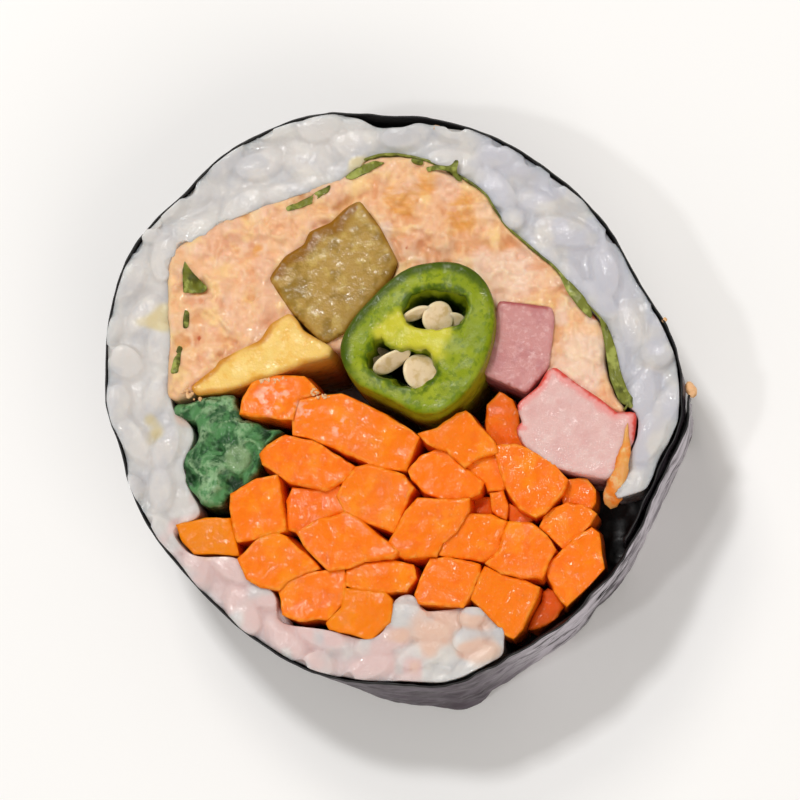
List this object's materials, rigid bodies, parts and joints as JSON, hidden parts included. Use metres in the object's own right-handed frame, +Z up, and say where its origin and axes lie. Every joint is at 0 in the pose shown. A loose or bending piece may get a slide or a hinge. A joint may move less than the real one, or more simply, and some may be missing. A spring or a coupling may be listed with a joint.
{
  "type": "gimbap slice",
  "caption": "Thick slice of gimbap lying on its cut face: a seaweed sheet round rice, filled with tuna salad, pickle, egg, green chili, ham, crab stick, spinach and carrot batons.",
  "frame": {"origin": "middle of the bounding box of the lower cut face, on the surface that the slice lies on", "axes": "+Z up, out of the upper cut face; +X to the right and +Y away from the eye, as the slice is seen from above with the tuna salad at the back and the carrots at the front"},
  "size_m": [0.0584, 0.0584, 0.0195],
  "materials": {
    "gim": "crinkled roasted seaweed with a dull sheen",
    "rice": "moist translucent cooked rice",
    "perilla_leaf": "fresh leaf, veined",
    "tuna": "flaked and creamy, softly lumpy",
    "pickle": "wet and slightly clear",
    "egg": "fried omelette with a browned skin",
    "chili": "waxy skin, wet cut flesh",
    "ham": "fine-grained cooked ham",
    "crab_stick": "fine fibres under a red skin",
    "spinach": "blanched, wet and folded",
    "carrot": "moist cut carrot"
  },
  "bodies": {
    "root": {"gim": "gim", "rice": "rice", "perilla_leaf": "perilla_leaf", "tuna": "tuna", "pickle": "pickle", "egg": "egg", "chili": "chili", "ham": "ham", "crab_stick": "crab_stick", "spinach": "spinach", "carrot_01": "carrot", "carrot_02": "carrot", "carrot_03": "carrot", "carrot_04": "carrot", "carrot_05": "carrot", "carrot_06": "carrot", "carrot_07": "carrot", "carrot_08": "carrot", "carrot_09": "carrot", "carrot_10": "carrot", "carrot_11": "carrot", "carrot_12": "carrot", "carrot_13": "carrot", "carrot_14": "carrot", "carrot_15": "carrot", "carrot_16": "carrot", "carrot_17": "carrot", "carrot_18": "carrot", "carrot_19": "carrot", "carrot_20": "carrot", "carrot_21": "carrot", "carrot_22": "carrot", "carrot_23": "carrot", "carrot_24": "carrot", "carrot_25": "carrot", "carrot_26": "carrot", "carrot_27": "carrot", "carrot_28": "carrot", "carrot_29": "carrot"}
  },
  "joints": []
}
